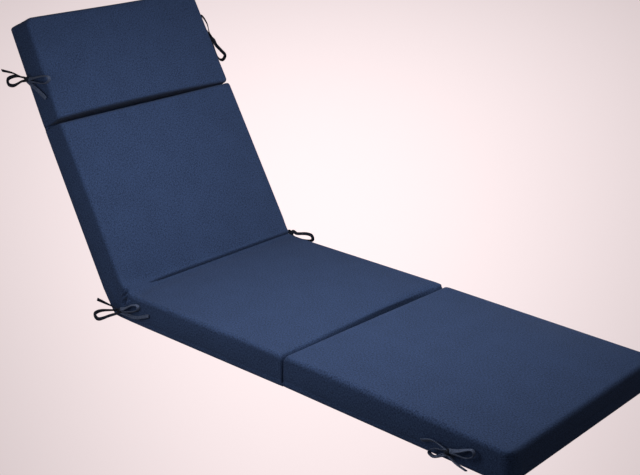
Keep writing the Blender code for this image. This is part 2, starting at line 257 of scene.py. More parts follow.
# The soft lights: place and target in metres, and the side of the square
Lamp = namedtuple("Lamp", "name place target size")
LAMPS = (
    Lamp("overhead", (0.25, -0.15, 0.80), (0.20, -0.10, 0.0), 0.7),
    Lamp("front", (0.55, 0.25, 1.25), (-0.2, 0.0, 0.2), 0.8),
    Lamp("left", (0.0, -1.15, 0.60), (0.0, -0.28, 0.05), 0.6),
    Lamp("rear", (-1.75, 0.10, 0.25), (-0.50, 0.0, 0.25), 0.5),
    Lamp("right", (0.10, 1.45, 0.05), (0.10, 0.28, 0.04), 0.1),
)

# The floor's glow: its brightest place, the direction it stretches in (degrees), its half
# width and its reach as a ratio of the distance GLOW_NEAR, and its brightness
GLOW_PLACE = Vector((-0.491, 0.660, 0.0))
GLOW_TURN = 42.8
GLOW_NEAR = 3.65
GLOW_WIDE = 1.22
GLOW_LONG = 1.045
GLOW_CENTRE = 0.948
GLOW_RIM = 0.427
FLOOR_Z = -0.0005
SWEEP_START = 9.0
SWEEP_RISE = 0.06


def linear(code):
    """An sRGB hex colour as linear red, green, blue and alpha."""
    values = [int(code[i:i + 2], 16) / 255 for i in (1, 3, 5)]
    return (*(v / 12.92 if v <= 0.04045 else ((v + 0.055) / 1.055) ** 2.4 for v in values), 1.0)


def fade(value):
    """Smooth step from 0 to 1."""
    value = np.clip(value, 0.0, 1.0)
    return value * value * (3 - 2 * value)


def running_length(points):
    """Distance along a row of points, from the first one to each of them."""
    return np.concatenate([[0.0], np.cumsum(np.linalg.norm(np.diff(points, axis=0), axis=-1))])


def length(name, description, default):
    """A setting in metres."""
    return bpy.props.FloatProperty(
        name=name, description=description, default=default, unit="LENGTH")


def watts(name, place, default):
    """The power of a soft light, as a setting."""
    return bpy.props.FloatProperty(
        name=name, description=f"Power of the soft light {place}, in watts", default=default)


def cloth_colour(name, description, code):
    """The colour of a cloth, as a setting with a hex default."""
    return bpy.props.FloatVectorProperty(
        name=name, description=description, subtype="COLOR", size=4, min=0, max=1,
        default=linear(code))


class CoverSettings(bpy.types.PropertyGroup):
    """Sizes and colour of the padded cover."""

    colour: cloth_colour("Cover colour", "Navy of the woven cover", "#344567")
    edge_radius: length("Edge radius", "Where a face turns into a side", 0.0105)
    crown: length("Crown", "Height of a section's middle above its edges", 0.0055)
    side_bulge: length("Side bulge", "How far the sides stand out between channels", 0.0030)
    pressure: bpy.props.FloatProperty(
        name="Cloth run pressure", description="Acts inwards, as the run's faces point inwards",
        default=4.0)
    reach: length("Cloth reach", "The most that the cloth run may move a point", 0.0022)
    thread: length("Thread spacing", "Spacing of the weave as drawn", 0.0016)


class TapeSettings(bpy.types.PropertyGroup):
    """Sizes and colour of the tapes."""

    # The plain side's colour is the tape's navy, as light as lit tape looks: partly its own
    # colour, partly painted highlight. The second colour is a nearly black copy of it: painted
    # shade for the loops and knots that lie in shadow.
    colour: cloth_colour("Tape colour", "Slate navy of the tape's plain side", "#4a556e")
    painted_shade_colour: cloth_colour(
        "Painted shade colour", "Nearly black copy of the tape colour, painted shade", "#161b28")
    width: length("Tape width", "Width across the flat", 0.009)
    thickness: length("Tape thickness", "Folded and stitched cloth", 0.0024)


class StageSettings(bpy.types.PropertyGroup):
    """Floor, backdrop and lights."""

    floor_tint: bpy.props.FloatVectorProperty(
        name="Floor tint", description="Pinkish white of the floor, times its glow",
        size=3, min=0, max=2, default=(1.165, 1.0, 1.012))
    floor_shade: bpy.props.FloatProperty(
        name="Floor shade", description="Share of the floor that takes light and shade",
        default=0.0, min=0, max=1)
    overhead: watts("Overhead light", "above the seat", 4.1)
    front: watts("Front light", "above the leg", 5.6)
    left: watts("Left light", "left of the seat", 3.6)
    rear: watts("Rear light", "low behind the back", 3.0)
    right: watts("Right light", "low on the right", 3.0)
    ambient: bpy.props.FloatProperty(
        name="Ambient", description="Strength of the surrounding light", default=0.096)


def block(number, shares, **columns):
    """One stretch of cross-sections: its place in the order, and named columns over it."""
    shares = np.asarray(shares, dtype=float)
    filled = {name: np.broadcast_to(value, shares.shape) for name, value in columns.items()}
    return {"order": number + shares, **filled}


def shares_of(steps):
    """Evenly spaced shares over a stretch, without its start, which the last one ended on."""
    return np.arange(1, steps + 1) / steps


def arc_inset(distance, radius):
    """Inward distance of a quarter-round edge: radius less the circle's height there."""
    inside = np.clip(radius - distance, 0, radius)
    return radius - np.sqrt(np.clip(radius**2 - inside**2, 0, None))


def outline_columns(side_inset, top_inset, low_inset, radius):
    """Half width, lowest and highest z and corner radius of a cross-section."""
    return {
        "half_width": WIDTH / 2 - side_inset,
        "low": low_inset,
        "high": THICKNESS - top_inset,
        "radius": radius,
    }


def lengthwise(spacing, turns, radius):
    """Every cross-section of the flat cushion from head end to foot end, as named columns.

    A free end starts as a thin slot in the middle of its end face, which widens to the
    face's edge and then follows a quarter circle. A channel is lip, wall, web, wall, lip.
    """
    stretches = []
    even = shares_of(turns)
    under = radius * UNDER_RADIUS_SHARE

    def free_end(number, edge, direction, corner):
        """An end face with its rounded edges, and where its even stretch begins."""
        share = np.concatenate([[0.0], even])
        depth = (THICKNESS - radius - under) * 0.48 * (1 - share)
        face = block(
            number, share, s=edge - direction * CAP_BULGE * (1 - share**2), shift=0.0, web=0.0,
            half_width=WIDTH / 2 - corner - depth, low=under + depth,
            high=THICKNESS - radius - depth, radius=np.maximum(radius - depth, 0.8 * MM))
        reach = max(corner, radius)
        distance = reach * (1 - np.cos(even * math.pi / 2))
        rounding = block(
            number + 1, even, s=edge + direction * distance, shift=0.0, web=0.0,
            **outline_columns(arc_inset(distance, corner), arc_inset(distance, radius),
                              arc_inset(distance, under), radius))
        return [face, rounding], edge + direction * reach

    def middle(number, start, stop):
        """The even stretch of a section between its rounded ends."""
        steps = max(2, round((stop - start) / spacing))
        share = shares_of(steps)
        return [block(number, share, s=start + share * (stop - start), shift=0.0, web=0.0,
                      **outline_columns(0.0, 0.0, 0.0, radius))]

    def lip(number, centre, direction):
        """The rounded edge of a section at a channel, from the channel's wall outward."""
        distance = CHANNEL_REACH * (1 - np.cos(np.concatenate([[0.0], even]) * math.pi / 2))
        inset = arc_inset(distance, radius)
        return block(
            number, np.concatenate([[0.0], even]), s=centre + direction * distance,
            shift=float(direction), web=0.0,
            **outline_columns(arc_inset(distance, CHANNEL_CORNER_RADIUS), inset,
                              HINGE_EDGE_SHARE * inset, radius))

    def wall(number, centre, direction):
        """The face of a section inside a channel, swelling toward the other, down to the web."""
        share = np.arange(1, 4) / 4
        lip_low, lip_high = HINGE_EDGE_SHARE * radius, THICKNESS - radius
        swell = WALL_SWELL * np.sin(share * math.pi)
        return block(
            number, share, s=centre, shift=direction * (1 - swell), web=share,
            half_width=WIDTH / 2 - CHANNEL_CORNER_RADIUS
            + share * (CHANNEL_CORNER_RADIUS - WEB_SIDE_INSET),
            low=lip_low + share * (WEB_LOW - lip_low),
            high=lip_high + share * (WEB_HIGH - lip_high),
            radius=radius + share * (WEB_RADIUS - radius))

    def channel(number, centre):
        """Both lips and walls of a channel and the web that joins them at the bottom."""
        web = block(number + 2, np.array([0.25, 0.5, 0.75]), s=centre,
                    shift=np.array([-1.0, 0.0, 1.0]), web=1.0,
                    half_width=WIDTH / 2 - WEB_SIDE_INSET,
                    low=WEB_LOW, high=WEB_HIGH, radius=WEB_RADIUS)
        before = turned([lip(number, centre, -1)], number)[0]
        after = lip(number + 4, centre, 1)
        down = wall(number + 1, centre, -1)
        up = turned([wall(number + 3, centre, 1)], number + 3)[0]
        return [trimmed(before), down, web, up, after]

    head_parts, head_inner = free_end(0, HEAD_END, 1, HEAD_CORNER_RADIUS)
    foot_parts, foot_inner = free_end(17, FOOT_END, -1, FOOT_CORNER_RADIUS)
    stretches += head_parts
    stretches += middle(2, head_inner, -BACK_LENGTH - CHANNEL_REACH)
    stretches += channel(3, -BACK_LENGTH)
    stretches += middle(8, -BACK_LENGTH + CHANNEL_REACH, -CREASE_ZONE)
    crease_steps = 2 * (turns + 15)
    crease_share = shares_of(crease_steps)
    centred = 2 * crease_share - 1
    crowded = CREASE_ZONE * np.sign(centred) * np.abs(centred) ** 2.0
    stretches += [block(9, crease_share, s=crowded, shift=0.0, web=0.0,
                        **outline_columns(0.0, 0.0, 0.0, radius))]
    stretches += middle(10, CREASE_ZONE, SEAT_LENGTH - CHANNEL_REACH)
    stretches += channel(11, SEAT_LENGTH)
    stretches += middle(16, SEAT_LENGTH + CHANNEL_REACH, foot_inner)
    rounding, face = turned(foot_parts, 17)
    stretches += [trimmed(rounding), face]
    return {name: np.concatenate([part[name] for part in stretches]) for name in stretches[0]}


def turned(parts, first):
    """The stretches in reverse order, numbered upward again from first."""
    last = first + len(parts)
    result = []
    for part in reversed(parts):
        flipped = {name: values[::-1] for name, values in part.items()}
        flipped["order"] = first + last - flipped["order"]
        result.append(flipped)
    return result


def trimmed(part):
    """A stretch without its first cross-section, which the one before ended on."""
    return {name: values[1:] for name, values in part.items()}


def around(face_steps, turns, side_steps):
    """The ring of a cross-section, from the middle of the underside to the right and over.

    Columns: order, the place along the face's width (-1 to 1), the place between underside
    and top (-1 to 1), and the direction that the rounded edge has turned to.
    """
    half = max(3, face_steps // 3)
    even = shares_of(turns)
    crowded = np.interp(shares_of(face_steps), (0, 0.22, 0.72, 1), (0, 0.12, 0.88, 1))
    low = shares_of(half)
    side = shares_of(side_steps)
    quarter = math.pi / 2
    parts = [
        (np.concatenate([[0.0], low]), np.concatenate([[0.0], low]), -1.0, -quarter),
        (1 + even, 1.0, -1.0, -quarter + even * quarter),
        (2 + side, 1.0, 2 * side - 1, 0.0),
        (3 + even, 1.0, 1.0, even * quarter),
        (4 + shares_of(face_steps), 1 - 2 * crowded, 1.0, quarter),
        (5 + even, -1.0, 1.0, quarter + even * quarter),
        (6 + side, -1.0, 1 - 2 * side, 2 * quarter),
        (7 + even, -1.0, -1.0, 2 * quarter + even * quarter),
        (8 + low[:-1], low[:-1] - 1, -1.0, 3 * quarter),
    ]
    return {
        name: np.concatenate([np.broadcast_to(part[index], part[0].shape) for part in parts])
        for index, name in enumerate(("order", "across", "height", "angle"))}


def flat_skin(sections, ring, settings):
    """The cushion's skin before it is bent, as a grid of (s, y, z).

    A cross-section is a rounded rectangle: y is across times the half width less the radius,
    plus the radius times the cosine of the angle; z is the same with the height and sine.
    The crown is 1 - |u|^3 along a section times 1 - |v|^3 across it. The crease lowers the
    top by a parabola in the distance from it, and the hollow raises it by a wider one. A
    pinched fold and the side seam are bell curves in the distance from their middle lines.
    """
    column = {name: values[:, None] for name, values in sections.items()}
    row = {name: values[None, :] for name, values in ring.items()}
    radius = np.minimum(column["radius"], 0.47 * (column["high"] - column["low"]))
    radius = radius * np.interp(column["s"], (-0.05, 0.05), (UPRIGHT_RADIUS_SHARE, 1.0))
    radius = radius * (UNDER_RADIUS_SHARE + (1 - UNDER_RADIUS_SHARE) * (row["height"] + 1) / 2)
    middle = (column["high"] + column["low"]) / 2
    half_height = (column["high"] - column["low"]) / 2
    y = row["across"] * (column["half_width"] - radius) + radius * np.cos(row["angle"])
    z = middle + row["height"] * (half_height - radius) + radius * np.sin(row["angle"])
    s = np.broadcast_to(column["s"], y.shape).copy()
    full = 1 - column["web"]

    section = np.clip(np.searchsorted(SECTION_BOUNDS, column["s"], side="left"), 1, 4)
    start, stop = SECTION_BOUNDS[section - 1], SECTION_BOUNDS[section]
    along = np.clip(1 - np.abs(2 * (column["s"] - start) / (stop - start) - 1) ** 3, 0, 1)
    across = np.clip(1 - np.abs(y / (WIDTH / 2 - settings.edge_radius)) ** 3, 0, 1)
    level = (z - column["low"]) / (column["high"] - column["low"])
    y = y + (np.sign(y) * settings.side_bulge * along * (1 - (2 * level - 1) ** 2)
             * fade((np.abs(y) - WIDTH / 2 + 0.02) / 0.015) * full)
    crown = settings.crown * across + EDGE_CROWN_LEFT * (0.5 - y / WIDTH)
    z = z + crown * along * fade((level - 0.5) * 2) * full

    from_left = y + WIDTH / 2
    distance = np.abs(column["s"])
    sharp = CREASE_DEPTH * fade((from_left - CREASE_START) / CREASE_RAMP)
    from_crease = np.abs(column["s"] - CREASE_PLACE)
    crease = sharp * np.clip(1 - from_crease / CREASE_REACH, 0, None) ** 2
    welt = (CREASE_WELT * sharp / CREASE_DEPTH
            * np.exp(-((column["s"] - WELT_PLACE) / WELT_WIDTH) ** 2))
    hollow = HOLLOW_RIGHT + (HOLLOW_LEFT - HOLLOW_RIGHT) * (1 - fade(from_left / HOLLOW_FADE))
    raised = math.tan(RECLINE / 2) / (2 * hollow) * np.clip(hollow - distance, 0, None) ** 2
    z = z + (raised + welt - crease) * fade(level * 1.4 - 0.4)
    unrolled = from_left - np.clip(THICKNESS - z, 0, None)
    for pinch in PINCHES:
        turn = math.radians(pinch.turn)
        toward_seat, inward = s / MM - pinch.s, unrolled / MM - pinch.inward
        along_fold = (inward * math.cos(turn) + toward_seat * math.sin(turn)) / pinch.length
        off_fold = (toward_seat * math.cos(turn) - inward * math.sin(turn)) / pinch.width
        fold = np.exp(-off_fold**2) - 0.7 * np.exp(-(off_fold - 1.9) ** 2)
        pulled = pinch.depth * MM * fold * np.exp(-along_fold**4) * fade(3 - from_left / 0.02)
        z = z - pulled * fade(level * 8 - 7)
        y = y + pulled * (1 - fade(level * 8 - 7)) * fade(level * 4)
    z = z + HEEL_LIFT * np.clip(1 - distance / HEEL_REACH, 0, None) ** 2 * (1 - level)

    share = y / WIDTH + 0.5
    from_head = column["s"] - HEAD_END
    corner = arc_inset(from_head, HEAD_FACE_CORNER_RADIUS)
    corner = corner - arc_inset(from_head, HEAD_CORNER_RADIUS)
    y = y * (1 - 2 * corner * fade(level) / WIDTH)
    for channel in CHANNELS:
        away = np.abs(column["s"] - channel.s)
        gap = channel.left_gap + (channel.right_gap - channel.left_gap) * share
        power = channel.most_at / (1 - channel.most_at)
        within = np.clip(share, 0, 1)
        drawn = channel.drawn * within**power * (1 - within)
        drawn = drawn / (channel.most_at**power * (1 - channel.most_at))
        half_gap = gap / 2 + np.where(column["shift"] < 0, drawn, 0.0)
        s = s + column["shift"] * half_gap * np.clip(1 - away / CHANNEL_REACH, 0, 1)
        s = s + channel.slant * (share - 0.2) * fade(1 - away / SLANT_REACH)
        toward_head = (column["s"] - channel.s + 0.001 * column["shift"]) < 0
        rounder = settings.edge_radius + channel.rounder
        rolled = arc_inset(away, rounder) - arc_inset(away, settings.edge_radius)
        rolled = rolled * (1 - 0.85 * fade((share - 0.86) / 0.13))
        dipped = channel.dip * np.clip(1 - away / DIP_REACH, 0, 1) ** 2
        lowered = np.where(toward_head, rolled, dipped) * fade(share * 1.3 - 0.3)
        z = z - lowered * fade(level * 2 - 1) * full

    seam = np.exp(-(((z - SEAM_HEIGHT) / SEAM_WIDTH) ** 2)) * (np.abs(row["height"]) <= 1)
    at_side = fade((np.abs(y) - WIDTH / 2 + 0.010) / 0.008)
    y = y - np.sign(y) * SEAM_DEPTH * seam * at_side * full
    return filled_out(s, y, z)


def skin_at(detail, settings):
    """The cross-sections, their ring and the flat skin, as fine as the detail says."""
    sections = lengthwise(detail.spacing, detail.end_turns, settings.edge_radius)
    ring = around(detail.face_steps, detail.edge_turns, detail.side_steps)
    return sections, ring, flat_skin(sections, ring, settings)


def filled_out(s, y, z):
    """The plain section widened, thickened and lengthened to the filled cushion's own size.

    Each side's half width and the thickness are scaled by straight-line interpolation of
    the fullness table. The seat and leg thicken upward, the back and head to the rear.
    """
    places = [entry.s for entry in FULLNESS]
    left, right, thicker = (
        np.interp(s, places, [getattr(entry, name) * MM for entry in FULLNESS])
        for name in ("left", "right", "thicker"))
    share = y / WIDTH + 0.5
    y = y * (1 + np.where(y < 0, left, right) / (WIDTH / 2))
    scale = 1 + thicker / THICKNESS
    z = np.where(s < 0, THICKNESS - (THICKNESS - z) * scale, z * scale)
    at_head = fade((HEAD_END + END_REACH - s) / END_REACH)
    at_foot = fade((s - FOOT_END + END_REACH) / END_REACH)
    z = z + FOOT_LIFT * share * at_foot * np.clip(1 - z / THICKNESS, 0, 1)
    s = s - HEAD_LONGER * at_head + (FOOT_LONGER - FOOT_SKEW * share) * at_foot
    return np.stack([s, y, z], axis=-1)


def bend(skin):
    """Turn the half behind the crease up by the recline.

    The depth below the top face stretches the underside around the outer corner: its place
    along the cushion is |s| less tan(recline/2) times the depth, fading out over the reach.
    """
    s, y, z = skin[..., 0], skin[..., 1], skin[..., 2]
    depth = THICKNESS - z
    nearness = np.clip(1 - np.abs(s) / BEND_REACH, 0, None)
    along = np.abs(s) - math.tan(RECLINE / 2) * depth * nearness
    back_x = CREASE_X - along * math.cos(RECLINE) - depth * math.sin(RECLINE)
    back_z = THICKNESS + along * math.sin(RECLINE) - depth * math.cos(RECLINE)
    on_back = s < 0
    return np.stack(
        [np.where(on_back, back_x, CREASE_X + along), y, np.where(on_back, back_z, z)], axis=-1)


def ring_quads(rings, points):
    """Quads between neighbouring rings of points, where each ring is closed."""
    ring, point = np.meshgrid(np.arange(rings - 1), np.arange(points), indexing="ij")
    after = (point + 1) % points
    quads = np.stack([ring * points + point, (ring + 1) * points + point,
                      (ring + 1) * points + after, ring * points + after], axis=-1)
    return quads.reshape(-1, 4).tolist()


def grid_faces(rings, points):
    """The faces of a closed tube: the quads between its rings, and one cap at each end."""
    faces = ring_quads(rings, points)
    faces.append(list(range(points)))
    faces.append(list(range(rings * points - 1, (rings - 1) * points - 1, -1)))
    return faces


def tube_mesh(name, grid, lengths, girths):
    """A closed mesh from a grid of points, with a UV map of real lengths in metres.

    U runs along the tube and V around it. On the caps both stay at their ring's values.
    A negative signed volume means that the faces point inwards, and they are then turned.
    """
    rings, points = grid.shape[:2]
    mesh = bpy.data.meshes.new(name)
    mesh.from_pydata(grid.reshape(-1, 3).tolist(), [], grid_faces(rings, points))
    ring, point = np.meshgrid(np.arange(rings - 1), np.arange(points), indexing="ij")
    u = np.stack([lengths[ring], lengths[ring + 1], lengths[ring + 1], lengths[ring]], axis=-1)
    v = np.stack([girths[point], girths[point], girths[point + 1], girths[point + 1]], axis=-1)
    body = np.stack([u, v], axis=-1).reshape(-1, 2)
    first = np.stack([np.full(points, lengths[0]), girths[:-1]], axis=-1)
    last = np.stack([np.full(points, lengths[-1]), girths[:-1][::-1]], axis=-1)
    layer = mesh.uv_layers.new(name="cloth")
    layer.data.foreach_set("uv", np.concatenate([body, first, last]).ravel())
    shell = bmesh.new()
    shell.from_mesh(mesh)
    if shell.calc_volume(signed=True) < 0:
        bmesh.ops.reverse_faces(shell, faces=shell.faces)
        shell.to_mesh(mesh)
    shell.free()
    mesh.shade_smooth()
    mesh.update()
    return mesh


def add_object(name, mesh, material):
    """A new object at the origin, with its material."""
    piece = bpy.data.objects.new(name, mesh)
    bpy.context.scene.collection.objects.link(piece)
    mesh.materials.append(material)
    return piece


def cloth_run(grid, held, settings):
    """How far Blender's cloth moves each point of a closed grid under pressure.

    Held points are pinned. A movement m counts as m times reach / (|m| + reach), which never
    gets past the reach.

    The pressure is meant to fill the cover, but it acts inwards, because the faces of this
    grid point inwards. It draws the cover in by 1.7 mm on average, and by far more without
    the reach. The fullness table makes up for that. To mend it, turn the faces here and fit
    that table again, before the reach is raised.
    """
    rings, points = grid.shape[:2]
    mesh = bpy.data.meshes.new("cloth_run")
    mesh.from_pydata(grid.reshape(-1, 3).tolist(), [], grid_faces(rings, points))
    piece = bpy.data.objects.new("cloth_run", mesh)
    bpy.context.scene.collection.objects.link(piece)
    group = piece.vertex_groups.new(name="held")
    group.add(np.flatnonzero(held.ravel()).tolist(), 1.0, "REPLACE")
    modifier = piece.modifiers.new("cloth", "CLOTH")
    modifier.settings.vertex_group_mass = "held"
    modifier.settings.quality = 6
    modifier.settings.mass = 0.3
    modifier.settings.tension_stiffness = 25
    modifier.settings.compression_stiffness = 25
    modifier.settings.shear_stiffness = 10
    modifier.settings.bending_stiffness = 0.6
    # Negative, so that the cloth is larger than its grid by this share
    modifier.settings.shrink_min = -0.012
    modifier.settings.use_pressure = True
    modifier.settings.uniform_pressure_force = settings.pressure
    modifier.settings.effector_weights.gravity = 0
    modifier.point_cache.frame_start = 1
    modifier.point_cache.frame_end = CLOTH_FRAMES
    scene = bpy.context.scene
    for number in range(1, CLOTH_FRAMES + 1):
        scene.frame_set(number)
    evaluated = piece.evaluated_get(bpy.context.evaluated_depsgraph_get())
    moved = np.empty(rings * points * 3)
    evaluated.data.vertices.foreach_get("co", moved)
    bpy.data.objects.remove(piece)
    scene.frame_set(1)
    movement = moved.reshape(grid.shape) - grid
    size = np.linalg.norm(movement, axis=-1, keepdims=True)
    return movement * settings.reach / (size + settings.reach)


def resample(values, from_order, to_order, from_ring, to_ring):
    """Values of a coarse grid read at a finer grid's places, by straight-line interpolation."""
    ring_places = np.append(from_ring, RING_STRETCHES)
    closed = np.concatenate([values, values[:, :1]], axis=1)
    lengthways, crossways = (
        np.stack([np.interp(wanted, known, unit) for unit in np.eye(len(known))])
        for wanted, known in ((to_order, from_order), (to_ring, ring_places)))
    return np.einsum("ia,abk,bj->ijk", lengthways.T, closed, crossways)


def softened(values, passes):
    """The grid of values averaged with its neighbours, a quarter, a half and a quarter."""
    for _ in range(passes):
        values = (np.roll(values, 1, 1) + 2 * values + np.roll(values, -1, 1)) / 4
        padded = np.concatenate([values[:1], values, values[-1:]])
        values = (padded[:-2] + 2 * padded[1:-1] + padded[2:]) / 4
    return values


def add_node(tree, kind, links=None, **settings):
    """Add a shader node, set its properties or sockets by name, and link its inputs."""
    node = tree.nodes.new(kind)
    for name, value in settings.items():
        if hasattr(node, name):
            setattr(node, name, value)
        else:
            node.inputs[name].default_value = value
    for name, source in (links or {}).items():
        tree.links.new(source, node.inputs[name])
    return node


def woven_cloth(name, colour, thread, speckle, relief, gloss):
    """Spun polyester in plain weave, on the piece's own UV map in metres.

    It gives the eye a dull, soft cloth that hardly shines. Threads cross at the thread spacing
    and only show close up, as a fine relief. From a step away the uneven dyeing of single
    threads shows as a fine grain, lengthwise and crosswise, over a faint mottle 60 mm across.
    The grain is drawn 2 mm wide and 4 mm long, coarser than real threads, so that it shows.
    speckle is how far the grain lightens and darkens the colour, relief is the strength of
    the bump, and gloss (0 to 1) is how much the cloth shines.
    """
    material = bpy.data.materials.new(name)
    material.use_nodes = True
    tree = material.node_tree
    shader = tree.nodes["Principled BSDF"]
    shader.inputs["Roughness"].default_value = 0.90 - 0.45 * gloss
    shader.inputs["IOR"].default_value = 1.46
    shader.inputs["Specular IOR Level"].default_value = 0.15 + 0.35 * gloss
    shader.inputs["Sheen Weight"].default_value = 0.04
    shader.inputs["Sheen Roughness"].default_value = 0.5

    cloth = add_node(tree, "ShaderNodeUVMap", uv_map="cloth").outputs["UV"]
    warp, weft = (
        add_node(tree, "ShaderNodeTexWave", {"Vector": cloth}, bands_direction=direction,
                 Scale=WAVE_LENGTH / thread, Distortion=0.4, Detail=1.0).outputs["Fac"]
        for direction in "XY")
    weave = add_node(tree, "ShaderNodeMath", {0: warp, 1: weft}, operation="MULTIPLY")
    dyes = []
    for scale in ((240, 480, 1), (480, 240, 1)):
        stretched = add_node(tree, "ShaderNodeMapping", {"Vector": cloth}, Scale=scale)
        noise = add_node(tree, "ShaderNodeTexNoise", {"Vector": stretched.outputs["Vector"]},
                         Scale=1.0, Detail=0.0)
        dyes.append(noise.outputs["Fac"])
    dye = add_node(tree, "ShaderNodeMath", {0: dyes[0], 1: dyes[1]}, operation="ADD")
    mottle = add_node(tree, "ShaderNodeTexNoise", {"Vector": cloth}, Scale=16.0, Detail=2.0)
    tone = add_node(tree, "ShaderNodeMath", {0: mottle.outputs["Fac"], 2: dye.outputs[0]},
                    operation="MULTIPLY_ADD")
    tone.inputs[1].default_value = MOTTLE_SHARE
    spread = add_node(tree, "ShaderNodeMapRange", {"Value": tone.outputs[0]})
    for socket, value in (("From Min", DARKEST_TONE), ("From Max", LIGHTEST_TONE),
                          ("To Min", 1 - speckle), ("To Max", 1 + speckle)):
        spread.inputs[socket].default_value = value
    tinted = add_node(tree, "ShaderNodeVectorMath", {"Scale": spread.outputs["Result"]},
                      operation="SCALE")
    tinted.inputs[0].default_value = colour[:3]
    tree.links.new(tinted.outputs[0], shader.inputs["Base Color"])
    height = add_node(tree, "ShaderNodeMath", {0: dye.outputs[0], 2: weave.outputs[0]},
                      operation="MULTIPLY_ADD")
    height.inputs[1].default_value = DYE_RELIEF
    bump = add_node(tree, "ShaderNodeBump", {"Height": height.outputs[0]},
                    Strength=relief, Distance=0.0005)
    tree.links.new(bump.outputs["Normal"], shader.inputs["Normal"])
    return material


class CUSHION_OT_cover(bpy.types.Operator):
    """Makes the padded, woven cushion in place of its plain solid"""

    bl_idname = "cushion.cover"
    bl_label = "Padded cover"

    def execute(self, context):
        settings = context.scene.cushion_cover
        sections, ring, skin = skin_at(FINE, settings)
        grid = bend(skin)
        coarse_sections, coarse_ring, coarse_skin = skin_at(COARSE, settings)
        held = coarse_skin[..., 2] < HELD_HEIGHT
        held |= coarse_sections["web"][:, None] > HELD_WEB
        held |= np.abs(coarse_sections["s"][:, None]) < HELD_CREASE
        movement = cloth_run(bend(coarse_skin), held, settings)
        movement = np.where(held[..., None], 0.0, movement)
        fine = resample(movement, coarse_sections["order"], sections["order"],
                        coarse_ring["order"], ring["order"])
        grid = grid + softened(fine, SOFTENING_PASSES)

        nominal = skin[len(skin) // 5, :, 1:]
        girths = running_length(np.concatenate([nominal, nominal[:1]]))
        lengths = running_length(skin[:, skin.shape[1] // 2, :])
        mesh = tube_mesh("cushion_cover", grid, lengths, girths)
        navy = woven_cloth("navy spun polyester", settings.colour, settings.thread,
                           speckle=0.42, relief=0.35, gloss=0.0)
        cover = add_object("cushion_cover", mesh, navy)
        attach(cover, BODY)
        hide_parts("cushion")
        return {"FINISHED"}


def smooth_path(points, samples):
    """Evenly spaced points of a Catmull-Rom curve through the route's own points."""
    knots = np.asarray(points, dtype=float)
    padded = np.concatenate([[2 * knots[0] - knots[1]], knots, [2 * knots[-1] - knots[-2]]])
    t = (np.arange(16) / 16)[None, :, None]
    before, start, stop, after = (padded[i:len(padded) - 3 + i, None] for i in range(4))
    curve = 0.5 * (2 * start + (stop - before) * t
                   + (2 * before - 5 * start + 4 * stop - after) * t**2
                   + (3 * start - before - 3 * stop + after) * t**3)
    fine = np.concatenate([curve.reshape(-1, 3), knots[-1:]])
    places = running_length(fine)
    even = np.linspace(0, places[-1], samples)
    return np.stack([np.interp(even, places, fine[:, axis]) for axis in range(3)], axis=-1)


def knot_centre(bow):
    """World position of a bow's knot."""
    return Vector((bow.knot_x * MM, bow.side * (WIDTH / 2 + bow.knot_out * MM), bow.knot_z * MM))


def seam_point(bow):
    """Where the bow's tape is sewn in: where a ray from outside meets the plain solid.

    The cover stands proud of the solid, so most tapes start inside it, by 1 to 20 mm.
    """
    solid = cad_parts["cushion"]
    start = Vector((bow.root_x * MM, bow.side * WIDTH, bow.root_z * MM))
    into = solid.matrix_world.inverted()
    found, place, _, _ = solid.ray_cast(into @ start, into.to_3x3() @ Vector((0, -bow.side, 0)))
    if not found:
        raise RuntimeError(f"{bow.name}: no cover at its root")
    return solid.matrix_world @ place + Vector((0, bow.side * SEAM_GAP, 0))


def tape_route(bow, half, order):
    """World points of one half of a tape and, at each point, its turn in degrees."""
    centre = np.array(knot_centre(bow))
    out = np.array([1, bow.side, 1])
    loop = np.array(half.loop) * MM * out
    end = np.array(half.end) * MM * out
    tip = loop[len(loop) // 2]
    across = np.array([-tip[2], 0, tip[0]])
    across = across / np.linalg.norm(across)
    across *= math.copysign(TUCK, np.dot(loop[0] - loop[-1], across))
    seam = np.array(seam_point(bow)) - centre
    spread = np.array(bow.edge) * ROOT_SPREAD * order
    root = [seam + spread, seam + spread + np.array([0, bow.side * ROOT_STUB, 0])]
    points = np.concatenate([root, [across], loop, [-across], end]) + centre
    turns = np.concatenate([
        [0, 0, RESTING_TURN],
        RESTING_TURN + half.loop_turn * np.sin(np.linspace(0, math.pi, len(loop))),
        [RESTING_TURN / 2],
        np.linspace(0.5, 1, len(end)) * half.end_turn])
    return points, turns


def tape_grid(path, turns, outward, width, thickness):
    """A flat tape carried along a path: a rounded bar whose width turns about the path.

    With a the angle around it, the profile reaches |cos a|^0.5 of the half width and
    |sin a|^0.6 of the half thickness. Its edges stand forward a little, which cups it.
    """
    tangent = np.gradient(path, axis=0)
    tangent /= np.linalg.norm(tangent, axis=1, keepdims=True)
    wide = outward - tangent * (tangent @ outward)[:, None]
    wide /= np.linalg.norm(wide, axis=1, keepdims=True)
    flat = np.cross(tangent, wide)
    angle = np.radians(turns)[:, None]
    wide, flat = (wide * np.cos(angle) + flat * np.sin(angle),
                  flat * np.cos(angle) - wide * np.sin(angle))
    round_ = np.linspace(0, 2 * math.pi, 20, endpoint=False)
    side = np.sign(np.cos(round_)) * np.abs(np.cos(round_)) ** 0.5
    face = np.sign(np.sin(round_)) * np.abs(np.sin(round_)) ** 0.6
    u = (side * width / 2)[None, :, None]
    v = (face * thickness / 2 + TAPE_CUP * side**2)[None, :, None]
    return path[:, None, :] + u * wide[:, None, :] + v * flat[:, None, :]


